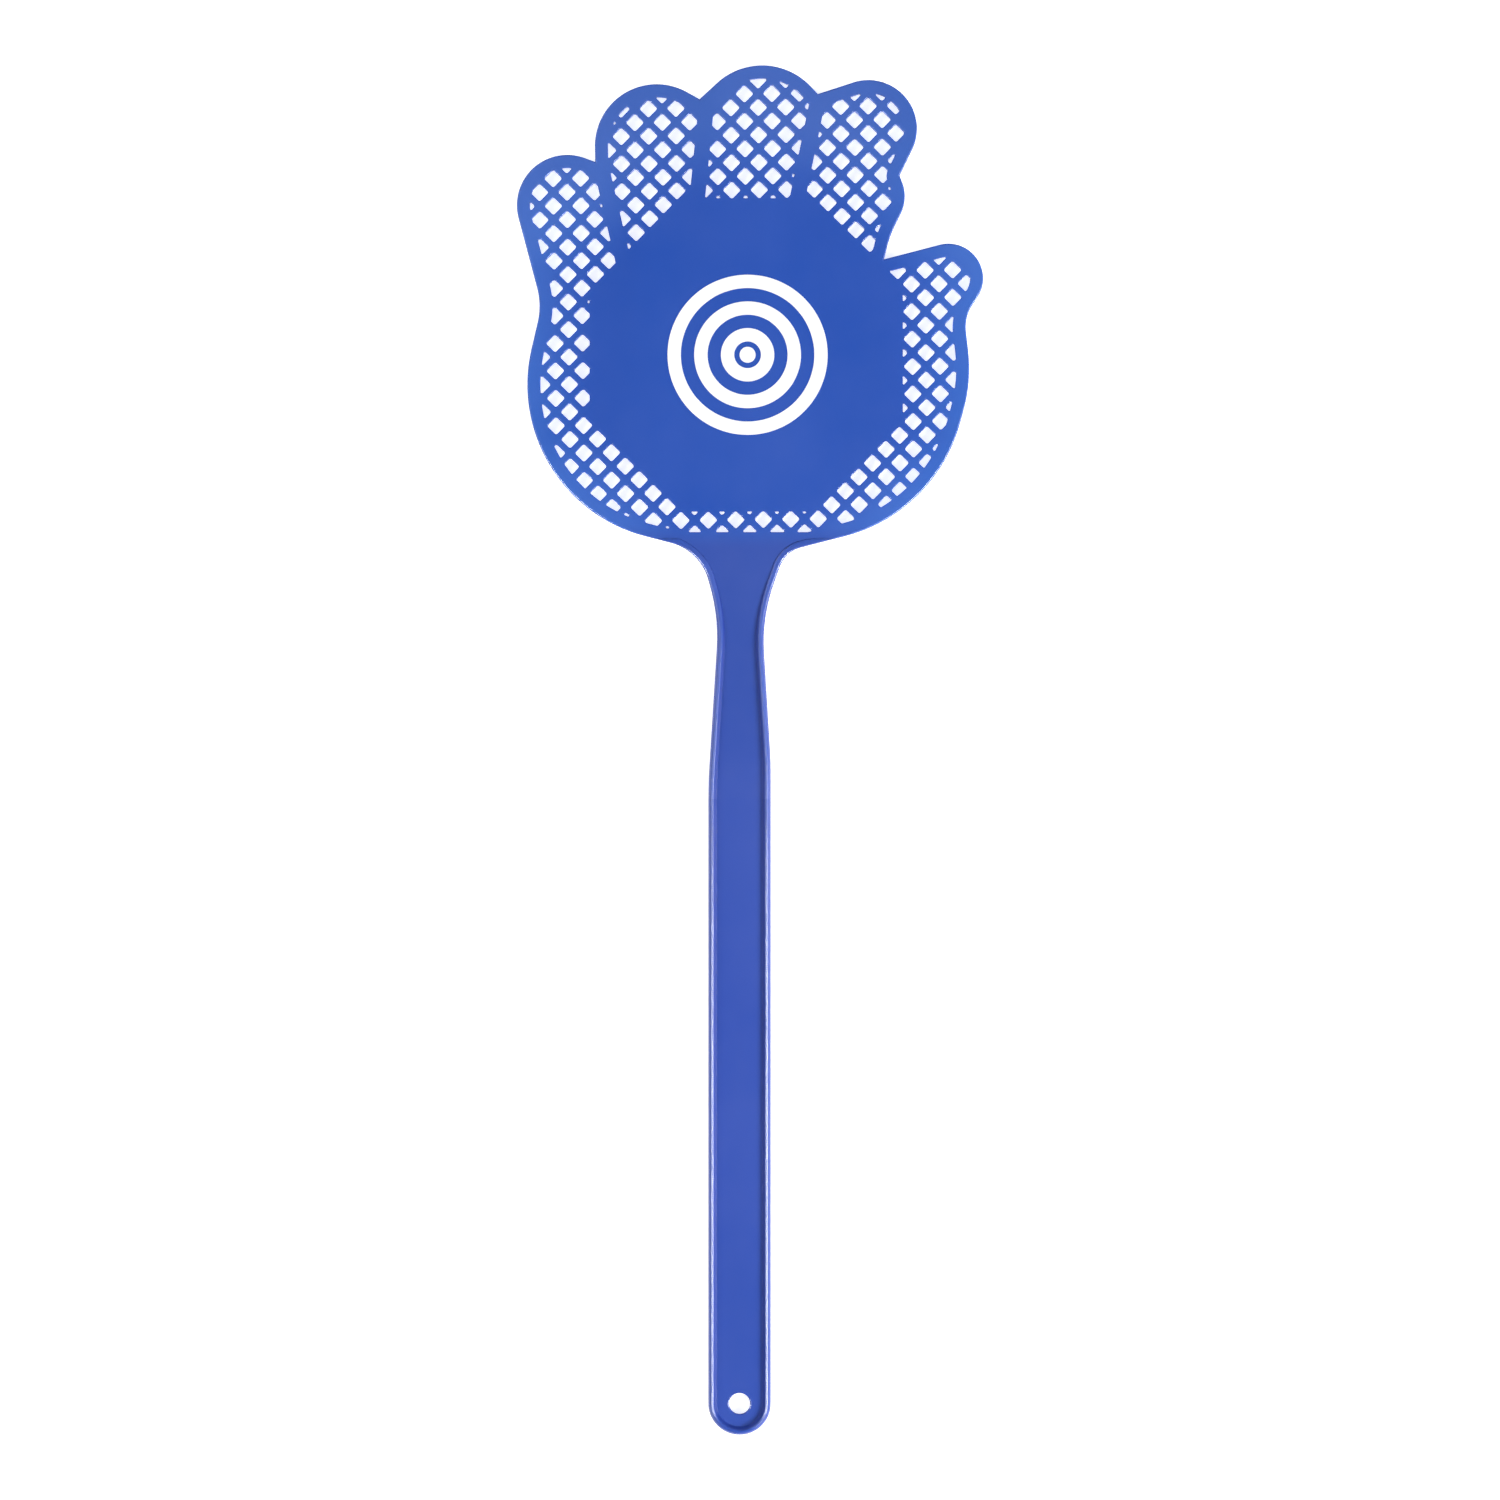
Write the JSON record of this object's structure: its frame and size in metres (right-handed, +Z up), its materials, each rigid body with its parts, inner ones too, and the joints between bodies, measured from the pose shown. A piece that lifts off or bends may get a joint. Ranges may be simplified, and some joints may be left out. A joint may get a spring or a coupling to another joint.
{
  "type": "fly swatter",
  "caption": "Hand-shaped plastic fly swatter: open diamond mesh fingers round a solid printed palm, on a long flanged handle with a hanging hole.",
  "frame": {"origin": "middle of the outline in X and Y, on the plane that the handle's flange rests on", "axes": "+Y from the handle's end towards the fingertips, +Z up out of the printed face, +X towards the thumb"},
  "size_m": [0.134, 0.3934, 0.005],
  "materials": {
    "moulding": "royal blue injection-moulded polypropylene, satin to semi-gloss",
    "mesh": "the same blue polypropylene; thin strands let a little light through, so they look lighter",
    "print_ink": "opaque white pad-print ink"
  },
  "bodies": {
    "handle": {"handle_flange": "moulding", "handle_floor": "moulding", "neck_flange_left": "moulding", "neck_flange_right": "moulding", "neck_floor": "moulding"},
    "head": {"hand_border": "moulding", "palm_plate": "moulding", "little_ring_rib": "moulding", "ring_middle_rib": "moulding", "middle_index_rib": "moulding", "little_finger_mesh": "mesh", "ring_finger_mesh": "mesh", "middle_finger_mesh": "mesh", "index_finger_mesh": "mesh", "thumb_mesh": "mesh", "thumb_side_mesh": "mesh", "heel_mesh": "mesh", "little_side_mesh": "mesh", "target_print": "print_ink"}
  },
  "joints": [
    {"name": "head_flex", "type": "hinge", "parent": "handle", "child": "head", "pos_m": [0, 0.0615, 0.0025], "axis": [1, 0, 0], "range_deg": [0, 30], "stiffness_Nm_per_rad": 0.6}
  ]
}
